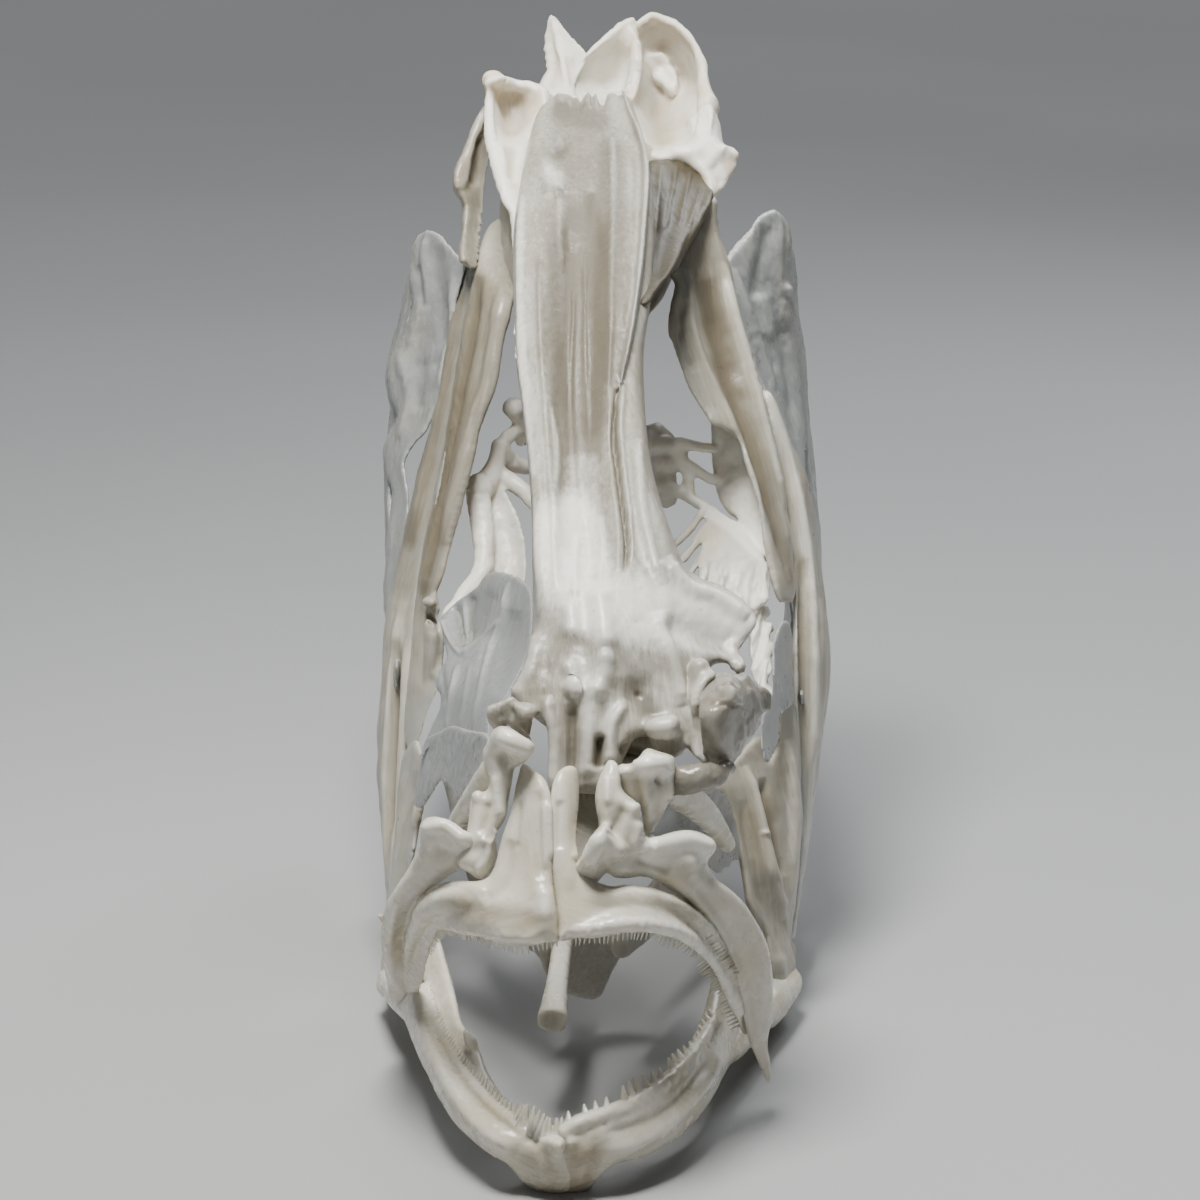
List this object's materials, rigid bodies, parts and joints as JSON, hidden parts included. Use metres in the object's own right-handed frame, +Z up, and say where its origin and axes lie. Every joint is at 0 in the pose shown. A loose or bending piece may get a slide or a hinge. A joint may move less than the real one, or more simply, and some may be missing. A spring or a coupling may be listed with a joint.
{
  "type": "flounder skull",
  "caption": "Life-size articulated skull of a right-eyed flounder with its mouth wide open, standing on its chin and the lower edges of its gill covers.",
  "frame": {"origin": "middle of the skull's outline seen from above, on the surface it stands on", "axes": "-Y the way the mouth faces, +X the specimen's left (blind) side, +Z up"},
  "size_m": [0.0451, 0.1162, 0.0891],
  "materials": {
    "roof_bone": "satin ivory bone of the skull roof, faintly grained along its length",
    "bright_bone": "bleached white bone round the ear region, satin",
    "jaw_bone": "warm ivory bone of the jaws, smooth satin",
    "cheek_bone": "pale grey-ivory bone of the cheek bars, satin",
    "wing_bone": "thin brownish striated bone, matte",
    "thin_bone": "blue-grey translucent sheet bone, satin",
    "clear_membrane": "dried glassy membrane, glossy, warm grey"
  },
  "bodies": {
    "root": {"frontoethmoid": "roof_bone", "supraoccipital": "bright_bone", "otic_ocular": "bright_bone", "otic_blind": "bright_bone", "sphenotic_wing_blind": "wing_bone", "braincase": "cheek_bone", "parasphenoid": "cheek_bone", "premaxilla_ocular": "jaw_bone", "premaxilla_blind": "jaw_bone", "maxilla_ocular": "jaw_bone", "maxilla_blind": "jaw_bone", "palatine_ocular": "jaw_bone", "palatine_blind": "jaw_bone", "dentary_ocular": "jaw_bone", "dentary_blind": "jaw_bone", "articular_ocular": "jaw_bone", "articular_blind": "jaw_bone", "lacrimal_blind": "clear_membrane", "basihyal": "jaw_bone", "urohyal": "cheek_bone", "posttemporal_ocular": "cheek_bone", "hyomandibula_ocular": "cheek_bone", "preopercle_ocular": "cheek_bone", "quadrate_ocular": "cheek_bone", "entopterygoid_ocular": "thin_bone", "ectopterygoid_ocular": "thin_bone", "opercle_ocular": "thin_bone", "subopercle_ocular": "thin_bone", "interopercle_ocular": "cheek_bone", "ceratohyal_ocular": "cheek_bone", "gill_arches_ocular": "cheek_bone", "hyomandibula_blind": "cheek_bone", "preopercle_blind": "cheek_bone", "quadrate_blind": "cheek_bone", "entopterygoid_blind": "thin_bone", "ectopterygoid_blind": "thin_bone", "opercle_blind": "thin_bone", "subopercle_blind": "thin_bone", "interopercle_blind": "cheek_bone", "ceratohyal_blind": "cheek_bone", "gill_arches_blind": "cheek_bone"}
  },
  "joints": []
}
